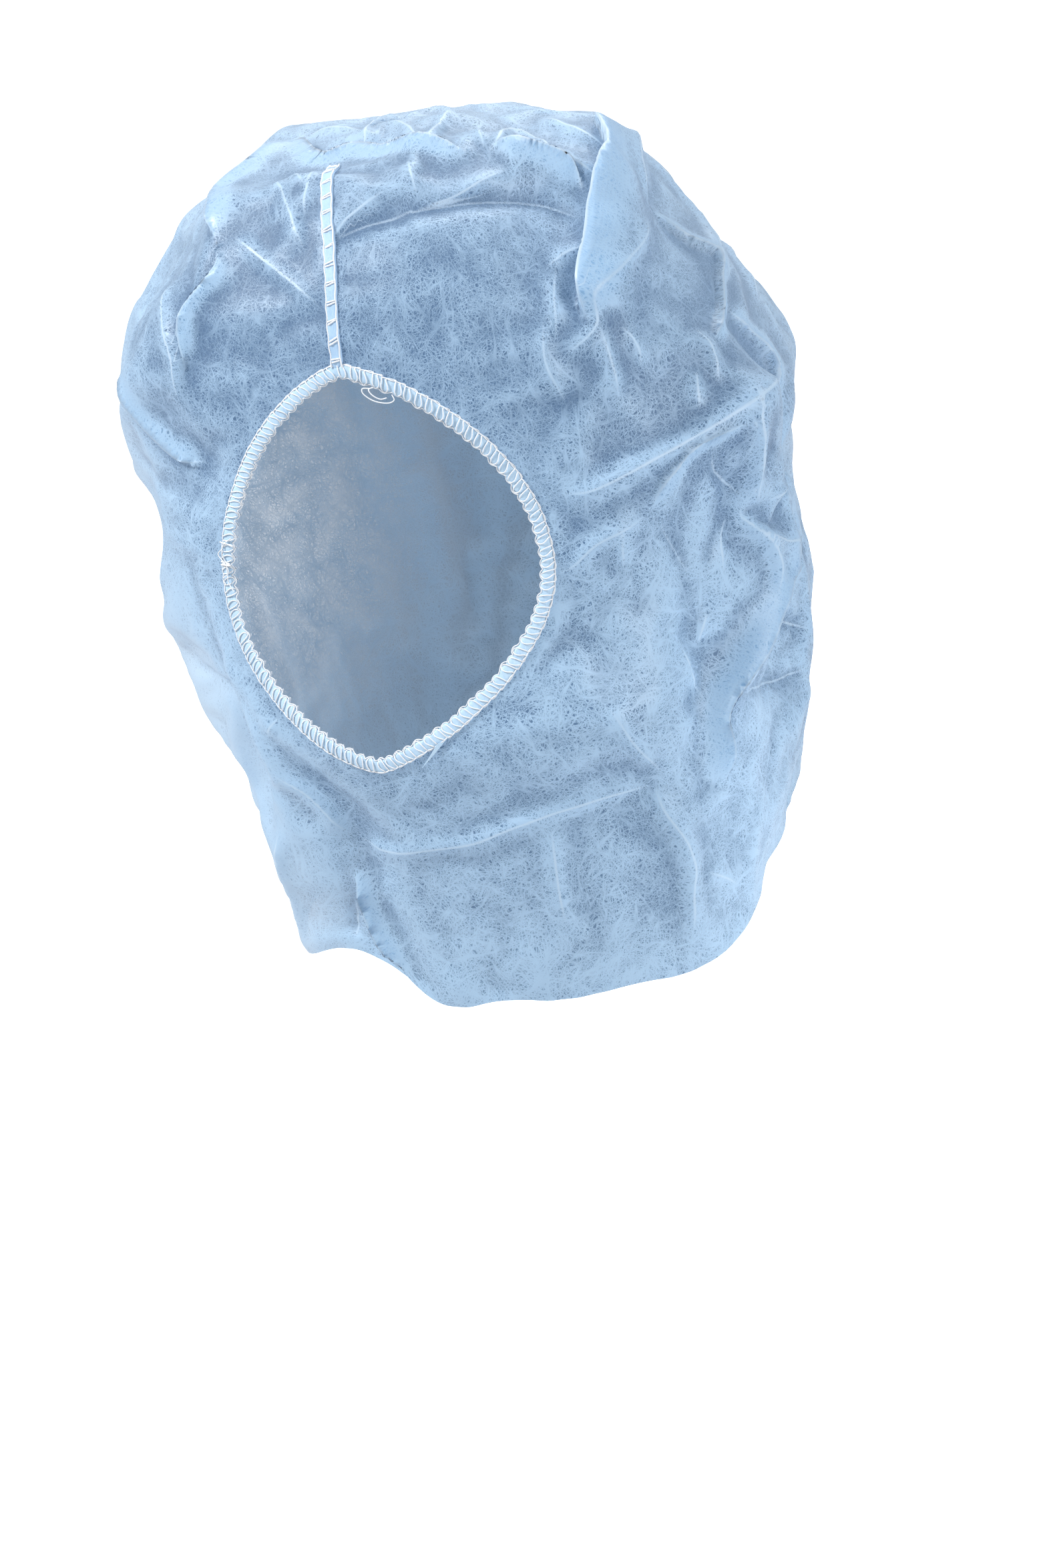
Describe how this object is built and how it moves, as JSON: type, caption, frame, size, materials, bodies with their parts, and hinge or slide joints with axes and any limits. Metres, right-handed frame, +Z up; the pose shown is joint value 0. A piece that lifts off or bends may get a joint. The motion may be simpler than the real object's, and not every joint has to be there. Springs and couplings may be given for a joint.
{
  "type": "non-woven balaclava hood",
  "caption": "Light disposable head cover of thin non-woven cloth with an overlocked face opening, a stitched centre-front seam, a crumpled crown and an open neck.",
  "frame": {"origin": "the seat, where the top of the head bears on the inside of the crown", "axes": "+Z up the head, -Y the way the wearer looks, +X the wearer's left"},
  "size_m": [0.2061, 0.2157, 0.26],
  "materials": {
    "hood_cloth": "thin see-through light blue spunbonded cloth with fine random fibres and small bond dots",
    "edge_binding": "rolled pale blue cloth edge under white overlock thread",
    "seam_cloth": "doubled light blue cloth in a narrow raised seam",
    "white_thread": "soft off-white textured polyester sewing thread"
  },
  "bodies": {
    "root": {"hood": "hood_cloth", "face_edge": "edge_binding", "front_seam": "seam_cloth"}
  },
  "joints": []
}
